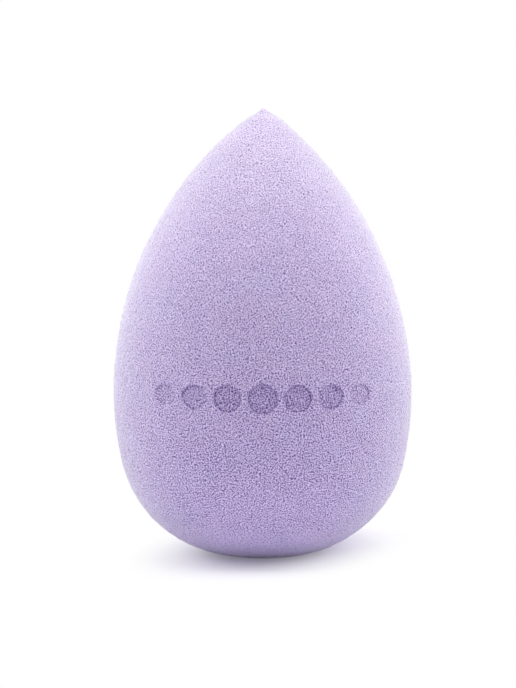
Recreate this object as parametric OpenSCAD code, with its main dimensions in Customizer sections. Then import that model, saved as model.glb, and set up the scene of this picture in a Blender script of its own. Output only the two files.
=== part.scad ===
// Teardrop makeup sponge: one solid piece of soft foam, round about its upright axis.
// It stands on a small flat foot, swells to its widest about a third of the way up,
// and draws in to a blunt point. The origin is the middle of the foot, and +Z goes to the tip.

/* [Body] */
// Height from the foot to the tip
body_h = 60; // [54:0.5:68]
// Diameter where the sponge is widest
body_d = 40; // [36:0.5:44]
// Height of the widest place above the foot
widest_z = 21.5; // [19:0.5:24]

/* [Tip] */
// Radius of the blunt point
tip_r = 1; // [0.8:0.1:3]

/* [Foot] */
// Diameter of the flat that the sponge stands on
foot_d = 11; // [9:0.5:14]
// Slope of the heel where it leaves the flat, in degrees
foot_angle = 8; // [6:0.5:12]

/* [Heel] */
// Angle below level, in degrees, at which the round heel passes into the flatter belly
heel_angle = 12; // [10:0.5:15]

/* [Hidden] */

// Degrees of arc in each straight step of the outline
arc_step = 2.5;
// Steps round the body in a preview
round_steps = 180;

body_r = body_d / 2;
foot_r = foot_d / 2;

// The heel arc leaves the foot at foot_angle, and the belly arc ends upright at the widest place.
// Where they meet, they share one tangent. These two sums give the radii that do that:
//   body_r - foot_r = heel_r * heel_out + belly_r * belly_out
//   widest_z        = heel_r * heel_up  + belly_r * belly_up
heel_out = cos(heel_angle) - sin(foot_angle);
heel_up = cos(foot_angle) - sin(heel_angle);
belly_out = 1 - cos(heel_angle);
belly_up = sin(heel_angle);
balance = heel_out * belly_up - belly_out * heel_up;
heel_r = ((body_r - foot_r) * belly_up - widest_z * belly_out) / balance;
belly_r = (widest_z * heel_out - (body_r - foot_r) * heel_up) / balance;

// The flank arc starts upright at the widest place and runs smoothly into the tip's own arc
tip_z = body_h - tip_r;
flank_rise = tip_z - widest_z;
flank_r = (flank_rise * flank_rise + body_r * body_r - tip_r * tip_r) / (2 * (body_r - tip_r));
flank_angle = atan2(flank_rise, flank_r - body_r);

// Points of an arc about centre, after its first end and up to its last
function arc(centre, radius, first, last) =
    let (steps = ceil(abs(last - first) / arc_step))
    [for (i = [1:steps])
        let (angle = first + (last - first) * i / steps)
        centre + radius * [cos(angle), sin(angle)]];

// Half of the sponge's outline, from the middle of the foot round to the tip
half_outline = concat(
    [[0, 0], [foot_r, 0]],
    arc([foot_r - heel_r * sin(foot_angle), heel_r * cos(foot_angle)], heel_r,
        foot_angle - 90, -heel_angle),
    arc([body_r - belly_r, widest_z], belly_r, -heel_angle, 0),
    arc([body_r - flank_r, widest_z], flank_r, 0, flank_angle),
    arc([0, tip_z], tip_r, flank_angle, 90)
);

module sponge_body() {
    color("#B7A6D0")
        rotate_extrude($fn = round_steps)
            polygon(half_outline);
}

sponge_body();
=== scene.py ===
"""The looks of a teardrop makeup sponge: its foam skin, its row of sunk dots, and the light it stands in."""
import math

import bpy
import numpy as np
from mathutils import Matrix, Vector, noise


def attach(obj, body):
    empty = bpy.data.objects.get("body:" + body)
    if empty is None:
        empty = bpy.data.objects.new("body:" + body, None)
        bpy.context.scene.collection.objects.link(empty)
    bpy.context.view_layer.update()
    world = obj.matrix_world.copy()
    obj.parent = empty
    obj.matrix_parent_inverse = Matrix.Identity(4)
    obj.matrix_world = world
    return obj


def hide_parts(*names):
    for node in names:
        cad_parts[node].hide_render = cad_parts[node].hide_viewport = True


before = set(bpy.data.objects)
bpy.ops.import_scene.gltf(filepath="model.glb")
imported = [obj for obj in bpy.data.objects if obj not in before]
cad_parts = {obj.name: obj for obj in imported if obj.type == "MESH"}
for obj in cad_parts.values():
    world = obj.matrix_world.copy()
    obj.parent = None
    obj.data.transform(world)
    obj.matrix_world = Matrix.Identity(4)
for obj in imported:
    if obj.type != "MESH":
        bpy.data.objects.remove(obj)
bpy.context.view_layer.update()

MM = 0.001
WHITE = (1, 1, 1, 1)

# The camera stands this far off and looks down by this much. At that distance a millimetre
# covers this many of the photograph's pixels.
PHOTO_TALL = 688
VIEW_RISE = math.radians(8)
VIEW_AWAY = 600 * MM
PIXELS_A_MM = 7.445
LOOKS_AT = Vector((-0.588, 0, 28.18)) * MM

# The foam's points lie a pitch apart, and each is nudged by up to a share of it. A ring whose
# radius is under AXIS_RADIUS is one point, and any other has at least LEAST_RING.
POINT_PITCH = 0.262 * MM
NUDGE_SHARE = 0.22
AXIS_RADIUS = POINT_PITCH / 4
LEAST_RING = 6
SEED = 31

# The foam's relief: dents, which each reach so many pitches from the middle of a larger cell, a
# fine grain, and slow swells. The foot has a share of it.
CELL_PITCH = 0.62 * MM
CELL_REACH = 0.55
CELL_DEPTH = 0.055 * MM
GRAIN_DEPTH = 0.03 * MM
SWELL_PITCH = 9 * MM
SWELL_DEPTH = 0.06 * MM
FOOT_RELIEF_SHARE = 0.3

# The very point is drawn in a little and sits a little lower, from the first height to the second
POINT_FROM_TO = (58.5 * MM, 59.9 * MM)
POINT_DRAWN_IN = 0.3
POINT_DROP = 0.1 * MM

# Soft foam stands a little out of true: how far its middle lies to one side, by height
LEAN_HEIGHTS = np.array([0, 9, 22, 40, 52, 56, 58.3, 60]) * MM
LEAN_ASIDE = np.array([0, 0.1, 0.03, -0.09, -0.02, 0.0, 0.15, 0.12]) * MM

# The row of sunk dots: their widths from the middle one outwards, how deep the press goes and over
# what width its wall falls, and the share of that depth that is left at the ends of the row
DOT_WIDTHS = np.array([4.0, 3.7, 3.3, 2.8]) * MM
DOT_GAP = 0.8 * MM
DOT_HEIGHT = 23.7 * MM
DOT_DEPTH = 0.34 * MM
DOT_WALL = 0.28 * MM
END_DEPTH_SHARE = 0.45

# Points closer to a dot's edge than this share of the pitch are drawn onto it
GATHER_SHARE = 0.3


def cad_outline(node):
    """The outline of the CAD solid from the rim of its foot to its tip: radius against height."""
    girth = {}
    for vertex in node.data.vertices:
        height = round(vertex.co.z, 6)  # Points of one ring share a height to the micrometre
        girth[height] = max(girth.get(height, 0.0), math.hypot(vertex.co.x, vertex.co.y))
    return np.array([[girth[height], height] for height in sorted(girth)])


def smooth_run(corners, pitch):
    """Evenly spaced points on one smooth curve through the outline's corners."""
    along = np.concatenate([[0], np.cumsum(np.hypot(*np.diff(corners, axis=0).T))])
    slopes = np.gradient(corners, along, axis=0)
    places = np.linspace(0, along[-1], round(along[-1] / pitch) + 1)
    first = np.clip(np.searchsorted(along, places, "right") - 1, 0, len(along) - 2)
    span = (along[first + 1] - along[first])[:, None]
    t = (places - along[first])[:, None] / span
    return (
        (1 + 2 * t) * (1 - t) ** 2 * corners[first]
        + t * (1 - t) ** 2 * span * slopes[first]
        + t * t * (3 - 2 * t) * corners[first + 1]
        - t * t * (1 - t) * span * slopes[first + 1]
    )


def smooth_step(x):
    """Rises softly from 0 to 1 as x does."""
    x = np.clip(x, 0, 1)
    return x * x * (3 - 2 * x)


def sponge_outline():
    """The whole outline, from the middle of the foot out to its rim and up to the tip."""
    side = smooth_run(cad_outline(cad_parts["sponge_body"]), POINT_PITCH)
    foot_radius = side[0, 0]
    across = np.linspace(0, foot_radius, round(foot_radius / POINT_PITCH) + 1)[:-1]
    foot = np.column_stack([across, np.zeros_like(across)])
    side[-1, 0] = 0
    low, high = POINT_FROM_TO
    drawn = smooth_step((side[:, 1] - low) / (high - low))
    side[:, 0] *= 1 - POINT_DRAWN_IN * drawn
    side[:, 1] -= POINT_DROP * drawn
    return np.vstack([foot, side])


def points_round(radius):
    """How many points a ring of this radius has."""
    if radius < AXIS_RADIUS:
        return 1
    return max(LEAST_RING, round(math.tau * radius / POINT_PITCH))


def next_turn(ring, place, turns):
    """The angle of the point that comes next round a ring, or no angle once the ring is used up."""
    if len(ring) == 1 or place == len(ring):
        return math.inf
    return turns[ring[(place + 1) % len(ring)]] + math.tau * (place + 1 == len(ring))


def stitched(low, high, turns):
    """Triangles between two neighbouring rings, each a range of point numbers."""
    faces = []
    a = b = 0
    while True:
        turn_a, turn_b = next_turn(low, a, turns), next_turn(high, b, turns)
        if turn_a == turn_b == math.inf:
            return faces
        if turn_a <= turn_b:
            faces.append((low[a], low[(a + 1) % len(low)], high[b % len(high)]))
            a += 1
        else:
            faces.append((low[a % len(low)], high[(b + 1) % len(high)], high[b]))
            b += 1


def dot_places():
    """The middle and the radius of each dot of the row, in the plane that the press moves in."""
    aside = [0.0]
    for inner, outer in zip(DOT_WIDTHS, DOT_WIDTHS[1:]):
        aside.append(aside[-1] + inner / 2 + DOT_GAP + outer / 2)
    right = [(x, width / 2) for x, width in zip(aside, DOT_WIDTHS)]
    return [(-x, radius) for x, radius in reversed(right[1:])] + right


class FoamSkin:
    """The points of the sponge's surface, as places along its outline and turns round its axis."""

    def __init__(self):
        self.outline = sponge_outline()
        steps = np.hypot(*np.diff(self.outline, axis=0).T)
        self.reach = np.concatenate([[0], np.cumsum(steps)])
        slope = np.gradient(self.outline, self.reach, axis=0)
        slope /= np.linalg.norm(slope, axis=1)[:, None]
        self.facing = np.column_stack([slope[:, 1], -slope[:, 0]])
        self.rim = np.argmax(self.outline[:, 1] > 0) - 1
        self.rng = np.random.default_rng(SEED)
        self.lay_rings()

    def lay_rings(self):
        """Lays the points in rings, each begun at a turn of its own, and joins ring to ring."""
        counts = [points_round(radius) for radius in self.outline[:, 0]]
        ends = np.cumsum(counts)
        rings = [range(end - count, end) for count, end in zip(counts, ends)]
        starts = self.rng.random(len(counts))
        self.turns = np.concatenate([(np.arange(count) + start) * math.tau / count
                                     for count, start in zip(counts, starts)])
        self.along = np.repeat(self.reach, counts)
        self.faces = [face for low, high in zip(rings, rings[1:])
                      for face in stitched(low, high, self.turns)]
        self.nudge(np.repeat(np.array(counts) > 1, counts))

    def nudge(self, loose):
        """Moves each loose point a little way along the surface, so that no ring shows."""
        shift = self.rng.uniform(-NUDGE_SHARE, NUDGE_SHARE, (2, len(self.along))) * POINT_PITCH
        radius = np.maximum(self.radius(), POINT_PITCH)
        self.turns = self.turns + np.where(loose, shift[0] / radius, 0)
        self.along = self.along + np.where(loose, shift[1], 0)

    def radius(self):
        """How far each point is from the axis."""
        return np.interp(self.along, self.reach, self.outline[:, 0])

    def points(self):
        """Where each point is on the true surface, before any relief."""
        radius = self.radius()
        height = np.interp(self.along, self.reach, self.outline[:, 1])
        return np.column_stack([radius * np.cos(self.turns), radius * np.sin(self.turns), height])

    def normals(self):
        """The way out of the foam at each point."""
        out = np.interp(self.along, self.reach, self.facing[:, 0])
        up = np.interp(self.along, self.reach, self.facing[:, 1])
        return np.column_stack([out * np.cos(self.turns), out * np.sin(self.turns), up])

    def on_foot(self):
        """Which points lie on the flat that the sponge stands on."""
        return self.along <= self.reach[self.rim]

    def gather_to_rims(self):
        """Draws the points nearest a dot's edge, and nearest the foot of its wall, onto them."""
        points = self.points()
        radii, heights = self.outline[self.rim:].T
        reach = self.reach[self.rim:]
        for aside, dot_radius in dot_places():
            for rim in (dot_radius, dot_radius - DOT_WALL):
                off = points[:, [0, 2]] - (aside, DOT_HEIGHT)
                away = np.hypot(*off.T)
                near = (np.abs(away - rim) < POINT_PITCH * GATHER_SHARE) & (points[:, 1] < 0)
                moved = (aside, DOT_HEIGHT) + off[near] * (rim / away[near])[:, None]
                points[np.ix_(near, [0, 2])] = moved
                height = points[near, 2]
                self.along[near] = np.interp(height, heights, reach)
                radius = np.interp(height, heights, radii)
                points[near, 1] = -np.sqrt(radius ** 2 - points[near, 0] ** 2)
                self.turns[near] = np.arctan2(points[near, 1], points[near, 0])

    def sunk(self):
        """How far each point goes down with the press: 0 outside the dots, 1 on their floors."""
        points = self.points()
        sunk = np.zeros(len(points))
        for aside, dot_radius in dot_places():
            away = np.hypot(points[:, 0] - aside, points[:, 2] - DOT_HEIGHT)
            sunk = np.maximum(sunk, smooth_step((dot_radius - away) / DOT_WALL))
        return np.where(points[:, 1] < 0, sunk, 0)


def foam_relief(points):
    """How far the foam's cells, grain and slow swells lift each point off the true surface."""
    rng = np.random.default_rng(SEED + 1)
    cells = np.array([noise.voronoi(Vector(point) / CELL_PITCH)[0][0] for point in points])
    swells = np.array([noise.noise(Vector(point) / SWELL_PITCH) for point in points])
    dents = smooth_step(1 - cells / CELL_REACH)
    grain = rng.standard_normal(len(points))
    return SWELL_DEPTH * swells - CELL_DEPTH * dents + GRAIN_DEPTH * grain


def press_depth(points):
    """How deep the press goes at each point: less towards both ends of the row."""
    last_dot = dot_places()[-1][0]
    from_middle = np.clip(np.abs(points[:, 0]) / last_dot, 0, 1)
    return DOT_DEPTH * (1 - (1 - END_DEPTH_SHARE) * from_middle ** 2)


def make_foam_skin():
    """The sponge's whole surface as one closed mesh, with the press's share kept on its points."""
    skin = FoamSkin()
    skin.gather_to_rims()
    points = skin.points()
    sunk = skin.sunk()
    relief = foam_relief(points)
    relief = np.where(skin.on_foot(), np.minimum(relief, 0) * FOOT_RELIEF_SHARE, relief)
    points = points + skin.normals() * (relief - press_depth(points) * sunk)[:, None]
    points[:, 0] += np.interp(points[:, 2], LEAN_HEIGHTS, LEAN_ASIDE)
    points[:, 2] = np.maximum(points[:, 2], 0)

    mesh = bpy.data.meshes.new("foam_skin")
    mesh.from_pydata(points, [], skin.faces)
    mesh.shade_smooth()
    pressed = mesh.attributes.new("pressed", "FLOAT", "POINT")
    pressed.data.foreach_set("value", sunk.astype(np.float32))
    foam = bpy.data.objects.new("foam_skin", mesh)
    bpy.context.scene.collection.objects.link(foam)
    return foam


# A direction that the sponge's surface faces only low down on its back
ASKEW = (0.1, 0.95, -0.3)


class Wire:
    """One output of a recipe's nodes. Sums on it add Math nodes."""

    def __init__(self, recipe, socket):
        self.recipe = recipe
        self.socket = socket

    def sum(self, operation, first, second):
        """Adds the node that works out one sum."""
        return self.recipe.node("ShaderNodeMath", {"operation": operation}, {0: first, 1: second})

    def __add__(self, other):
        return self.sum("ADD", self, other)

    def __mul__(self, other):
        return self.sum("MULTIPLY", self, other)

    def __sub__(self, other):
        return self.sum("SUBTRACT", self, other)

    def __rsub__(self, other):
        return self.sum("SUBTRACT", other, self)

    __radd__ = __add__


class Recipe:
    """The nodes of a material or of the world."""

    def __init__(self, owner):
        owner.use_nodes = True
        self.tree = owner.node_tree
        self.tree.nodes.clear()

    def node(self, kind, settings=None, sockets=None, out=0):
        """Adds a node, sets it, fills or joins its sockets, and gives one of its outputs."""
        node = self.tree.nodes.new(kind)
        for name, value in (settings or {}).items():
            setattr(node, name, value)
        for name, value in (sockets or {}).items():
            if isinstance(value, Wire):
                self.tree.links.new(value.socket, node.inputs[name])
            else:
                node.inputs[name].default_value = value
        return Wire(self, node.outputs[out]) if node.outputs else None

    def mixed(self, share, first, second):
        """Two colours, mixed by the share of the second."""
        return self.node("ShaderNodeMix", {"data_type": "RGBA"},
                         {0: share, 6: first, 7: second}, out=2)

    def eased(self, value, low, high, start=0.0, end=1.0):
        """Goes softly from start to end as the value goes from low to high."""
        return self.node("ShaderNodeMapRange", {"interpolation_type": "SMOOTHSTEP"},
                         {"Value": value, "From Min": low, "From Max": high,
                          "To Min": start, "To Max": end})

    def shifted(self, place, way, distance):
        """A place, moved some distance along a direction."""
        return self.node("ShaderNodeVectorMath", {"operation": "MULTIPLY_ADD"},
                         {0: way, 1: (distance, distance, distance), 2: place})

    def crossed(self, first, second):
        """The direction square to two others."""
        return self.node("ShaderNodeVectorMath", {"operation": "CROSS_PRODUCT"},
                         {0: first, 1: second})

    def noise(self, place, scale, detail=0.0):
        """Smooth noise, about 0.5 in the mean."""
        return self.node("ShaderNodeTexNoise", {},
                         {"Vector": place, "Scale": scale, "Detail": detail})

    def bent(self, place, scale, distance):
        """Places, each moved a little by a slow noise, so that finer noise there shows no grid."""
        sway = self.node("ShaderNodeTexNoise", {},
                         {"Vector": place, "Scale": scale, "Detail": 0.0}, out="Color")
        return self.shifted(place, sway, distance)

    def specks(self, place, scale, reach):
        """Noise less the mean of four places round it, so only its finest specks are left."""
        facing = self.node("ShaderNodeTexCoord", out="Normal")
        aside = self.node("ShaderNodeVectorMath", {"operation": "NORMALIZE"},
                          {0: self.crossed(facing, ASKEW)})
        along = self.crossed(facing, aside)
        around = sum(self.noise(self.shifted(place, way, step), scale)
                     for way in (aside, along) for step in (-reach, reach))
        return self.noise(place, scale) - around * 0.25


# The foam's colours, as the share of the light that it sends back. Its ridges wander between a
# warmer and a cooler lilac. Paler ridges towards the point are painted light from above, and
# paler, bluer ones near the foot are painted bounce light from the table.
WARM_RIDGE = (0.82, 0.674, 0.931, 1)
COOL_RIDGE = (0.745, 0.674, 0.949, 1)
POINT_LIT_RIDGE = (0.83, 0.732, 0.935, 1)
FOOT_BOUNCE_RIDGE = (0.72, 0.59, 1.0, 1)
PORE_LILAC = (0.06, 0.0, 0.23, 1)
TINT_SCALE = 0.22
POINT_LIT_FROM_TO = (38 * MM, 60 * MM)
FOOT_BOUNCE_UP_TO = 6.5 * MM

# The grain's two layers of specks. Scales are in waves to a millimetre, and reaches in millimetres.
# Their mixture goes from dark to pale between two values, and its mean is taken off it.
SWAY_SCALE = 1.0
SWAY_REACH = 0.45
FINE_SCALE = 5.4
FINE_REACH = 0.13
FINE_SHARE = 0.85
COARSE_SCALE = 3.8
COARSE_REACH = 0.19
COARSE_SHARE = 0.5
SPECKS_FROM_TO = (-0.6, 0.25)
SPECKS_MEAN = 0.24

# The grain shows strongly low down and less near the point, and eases over between two heights
CONTRAST_FROM_TO = (8 * MM, 50 * MM)
LOW_CONTRAST = 2.05
HIGH_CONTRAST = 1.15

# How dark the foam is all over, and how far its pores, its slow patches and the painted bounce light at its
# foot change that
DARK_SHARE = 0.28
PORE_SCALE = 2.8
PORE_FROM_TO = (0.25, 0.6)
PORE_SHARE = 0.1
PATCH_SCALE = 0.25
PATCH_SHARE = 0.11
FOOT_BOUNCE_PALER = 0.65

# How far the mark's own tone darkens the foam on a dot's floor, and how far painted shade darkens
# it on the dot's wall. Either side of the row's middle, from the first distance to the second, that falls to
# a share.
FLOOR_DARK = 0.155
WALL_PAINTED_SHADE = 1.33
FAINT_FROM_TO = (5 * MM, 15 * MM)
FAINT_SHARE = 0.6


def foam_specks(recipe, in_mm):
    """The grain of the foam: 1 in the darkest speck, 0 on the palest ridge."""
    bent = recipe.bent(in_mm, SWAY_SCALE, SWAY_REACH)
    fine = recipe.specks(bent, FINE_SCALE, FINE_REACH)
    coarse = recipe.specks(bent, COARSE_SCALE, COARSE_REACH)
    return recipe.eased(fine * FINE_SHARE + coarse * COARSE_SHARE, *SPECKS_FROM_TO, 1.0, 0.0)


def foam_pores(recipe, in_mm):
    """1 in the middle of each larger pore, 0 between the pores."""
    cells = recipe.node("ShaderNodeTexVoronoi", {},
                        {"Vector": in_mm, "Scale": PORE_SCALE}, out="Distance")
    return recipe.eased(cells, *PORE_FROM_TO, 1.0, 0.0)


def press_tone_and_wall_shade(recipe, across):
    """How much darker a dot is: its floor by the mark's own tone, its wall by painted shade."""
    pressed = recipe.node("ShaderNodeAttribute", {"attribute_name": "pressed"}, out="Fac")
    # The floor's share is the mark's own tone; the wall's share is painted shade in the dent
    tone_and_wall_shade = pressed * FLOOR_DARK + pressed * (1 - pressed) * WALL_PAINTED_SHADE
    near, far = FAINT_FROM_TO
    return tone_and_wall_shade * recipe.eased(across * across, near ** 2, far ** 2, 1.0, FAINT_SHARE)


def foam_ridges(recipe, in_mm, height, low):
    """The colour of the foam's ridges, with painted light: paler towards the point for light from above, and
    bluer near the foot for bounce light from the table.
    """
    ridge = recipe.mixed(recipe.noise(in_mm, TINT_SCALE, 1.0), WARM_RIDGE, COOL_RIDGE)
    # Painted light from above: the ridges turn paler towards the point
    ridge = recipe.mixed(recipe.eased(height, *POINT_LIT_FROM_TO), ridge, POINT_LIT_RIDGE)
    # Painted bounce light from the table: bluer ridges near the foot
    return recipe.mixed(low, ridge, FOOT_BOUNCE_RIDGE)


def foam_finish():
    """Fine open-celled foam: pale ridges round small dark pores, under a soft nap."""
    material = bpy.data.materials.new("lavender_foam")
    recipe = Recipe(material)
    place = recipe.node("ShaderNodeTexCoord", out="Object")
    in_mm = recipe.node("ShaderNodeVectorMath", {"operation": "SCALE"}, {0: place, "Scale": 1 / MM})
    across = recipe.node("ShaderNodeSeparateXYZ", {}, {0: place}, out="X")
    height = recipe.node("ShaderNodeSeparateXYZ", {}, {0: place}, out="Z")
    # Painted bounce light from the table: its share, 1 at the foot and 0 a few millimetres up
    low = recipe.eased(height, 0, FOOT_BOUNCE_UP_TO, 1.0, 0.0)
    specks = foam_specks(recipe, in_mm)
    pores = foam_pores(recipe, in_mm)
    contrast = recipe.eased(height, *CONTRAST_FROM_TO, LOW_CONTRAST, HIGH_CONTRAST)
    grain = (specks - SPECKS_MEAN + pores * PORE_SHARE) * contrast
    patches = recipe.noise(in_mm, PATCH_SCALE, 1.0) * PATCH_SHARE
    # The foot's share taken off the darkness is painted bounce light from the table
    dark = grain + patches + press_tone_and_wall_shade(recipe, across) - low * FOOT_BOUNCE_PALER + DARK_SHARE
    bump = recipe.node("ShaderNodeBump", {"invert": True}, {
        "Strength": 0.2,
        "Distance": 0.1 * MM,
        "Height": specks * 0.5 + pores * 0.5,
    })
    shader = recipe.node("ShaderNodeBsdfPrincipled", {"subsurface_method": "RANDOM_WALK"}, {
        "Base Color": recipe.mixed(dark, foam_ridges(recipe, in_mm, height, low), PORE_LILAC),
        "Roughness": 0.6,
        "Specular IOR Level": 0.36,
        "Subsurface Weight": 0.15,
        "Subsurface Radius": (1.0, 0.85, 1.15),
        "Subsurface Scale": 0.8 * MM,
        "Sheen Weight": 0.91,
        "Sheen Roughness": 0.5,
        "Sheen Tint": WHITE,
        "Normal": bump,
    })
    recipe.node("ShaderNodeOutputMaterial", {}, {"Surface": shader})
    return material


def place_camera():
    """The photograph's view: from the front, a little above the sponge."""
    data = bpy.data.cameras.new("view")
    data.lens = data.sensor_width * PIXELS_A_MM / MM * VIEW_AWAY / PHOTO_TALL
    camera = bpy.data.objects.new("view", data)
    back = Vector((0, -math.cos(VIEW_RISE), math.sin(VIEW_RISE)))
    camera.matrix_world = (Matrix.Translation(LOOKS_AT + back * VIEW_AWAY)
                           @ back.to_track_quat("Z", "Y").to_matrix().to_4x4())
    bpy.context.scene.collection.objects.link(camera)
    bpy.context.scene.camera = camera


# Every lamp is a square this wide, and looks at the sponge's middle from this far off
LAMP_WIDTH = 400 * MM
LAMP_AWAY = 600 * MM
SPONGE_MIDDLE = Vector((0, 0, 30 * MM))


def softbox(name, turn, rise, watts):
    """A square lamp at a turn round the sponge and a rise above it, both in degrees."""
    data = bpy.data.lights.new(name, "AREA")
    data.size = LAMP_WIDTH
    data.energy = watts
    lamp = bpy.data.objects.new(name, data)
    turn, rise = math.radians(turn), math.radians(rise)
    level = math.cos(rise)
    out = Vector((math.sin(turn) * level, -math.cos(turn) * level, math.sin(rise)))
    lamp.matrix_world = (Matrix.Translation(SPONGE_MIDDLE + out * LAMP_AWAY)
                         @ out.to_track_quat("Z", "Y").to_matrix().to_4x4())
    bpy.context.scene.collection.objects.link(lamp)


def seen_as_background(recipe):
    """1 where a ray from the camera, or one off gloss or through glass, meets the background."""
    rays = [recipe.node("ShaderNodeLightPath", out=name)
            for name in ("Is Camera Ray", "Is Glossy Ray", "Is Transmission Ray")]
    return recipe.node("ShaderNodeClamp", {}, {0: rays[0] + rays[1] + rays[2]})


def light_world(fill):
    """An even fill light from all round. The camera sees plain white instead."""
    world = bpy.data.worlds.new("studio")
    bpy.context.scene.world = world
    recipe = Recipe(world)
    strength = seen_as_background(recipe) * (1 - fill) + fill
    sky = recipe.node("ShaderNodeBackground", {}, {"Color": WHITE, "Strength": strength})
    recipe.node("ShaderNodeOutputWorld", {}, {"Surface": sky})


# The table's own colour, and how it goes to plain white: over these distances from a middle a
# little behind the foot, further out towards the front left and the back right. The turned,
# stretched shape of that fade paints the outline of the contact shadow. Close to the foot that
# white is a pale lilac glow instead, painted bounce light from the foam.
TABLE_WHITE = (0.865, 0.842, 0.94, 1)
WHITE_MIDDLE = Vector((1.8, 4, 0)) * MM
WHITE_AT_FOOT = 0.2
WHITE_FROM_TO = (4 * MM, 18.2 * MM)
WHITE_STRETCH = 2.1
WHITE_TURN = math.radians(-20.5)
LILAC_BOUNCE_GLOW = (0.87, 0.81, 1.0, 1)
LILAC_FROM_TO = (4.5 * MM, 9 * MM)

# Half the table's width, in metres: it reaches past the upper edge of the picture
TABLE_HALF = 2.0


def table_finish():
    """A matt white table. The camera sees it go to plain white a little way from the sponge, and the shape
    of that fade paints the outline of the contact shadow; near the foot a lilac glow paints bounce light
    from the foam.
    """
    material = bpy.data.materials.new("white_table")
    recipe = Recipe(material)
    place = recipe.node("ShaderNodeTexCoord", out="Object")
    turned = recipe.node("ShaderNodeMapping", {"vector_type": "TEXTURE"}, {
        "Vector": place,
        "Location": WHITE_MIDDLE,
        "Rotation": (0, 0, WHITE_TURN),
        "Scale": (1, WHITE_STRETCH, 1),
    })
    away = recipe.node("ShaderNodeVectorMath", {"operation": "LENGTH"}, {0: turned}, out="Value")
    # Painted shadow outline: this turned, stretched fade to white sets where the lamps' contact shadow shows
    white = recipe.eased(away, *WHITE_FROM_TO, WHITE_AT_FOOT, 1.0)
    card = recipe.node("ShaderNodeBsdfDiffuse", {}, {"Color": TABLE_WHITE})
    # Painted bounce light: a lilac glow in the contact shadow close to the foot, for light the foam throws
    # on the table
    lilac = recipe.node("ShaderNodeEmission", {}, {"Color": LILAC_BOUNCE_GLOW, "Strength": 1.0})
    plain = recipe.node("ShaderNodeEmission", {}, {"Color": WHITE, "Strength": 1.0})
    seen = recipe.node("ShaderNodeMixShader", {},
                       {0: recipe.eased(away, *LILAC_FROM_TO), 1: lilac, 2: plain})
    both = recipe.node("ShaderNodeMixShader", {},
                       {0: white * seen_as_background(recipe), 1: card, 2: seen})
    recipe.node("ShaderNodeOutputMaterial", {}, {"Surface": both})
    return material


def make_table():
    """The floor of the picture."""
    corners = [(x * TABLE_HALF, y * TABLE_HALF, 0) for x, y in ((-1, -1), (1, -1), (1, 1), (-1, 1))]
    mesh = bpy.data.meshes.new("table")
    mesh.from_pydata(corners, [], [(0, 1, 2, 3)])
    mesh.materials.append(table_finish())
    table = bpy.data.objects.new("table", mesh)
    bpy.context.scene.collection.objects.link(table)


place_camera()
light_world(fill=0.186)
softbox("overhead", turn=0, rise=85, watts=2.68)
softbox("left_side", turn=-90, rise=45, watts=1.21)
softbox("right_side", turn=90, rise=45, watts=1.28)
softbox("low_back_left", turn=-120, rise=10, watts=0.5)
softbox("low_back_right", turn=120, rise=10, watts=0.58)
softbox("high_back", turn=180, rise=60, watts=0.87)
make_table()

foam = make_foam_skin()
foam.data.materials.append(foam_finish())
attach(foam, "root")
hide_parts("sponge_body")

bpy.context.scene.view_settings.view_transform = "Standard"
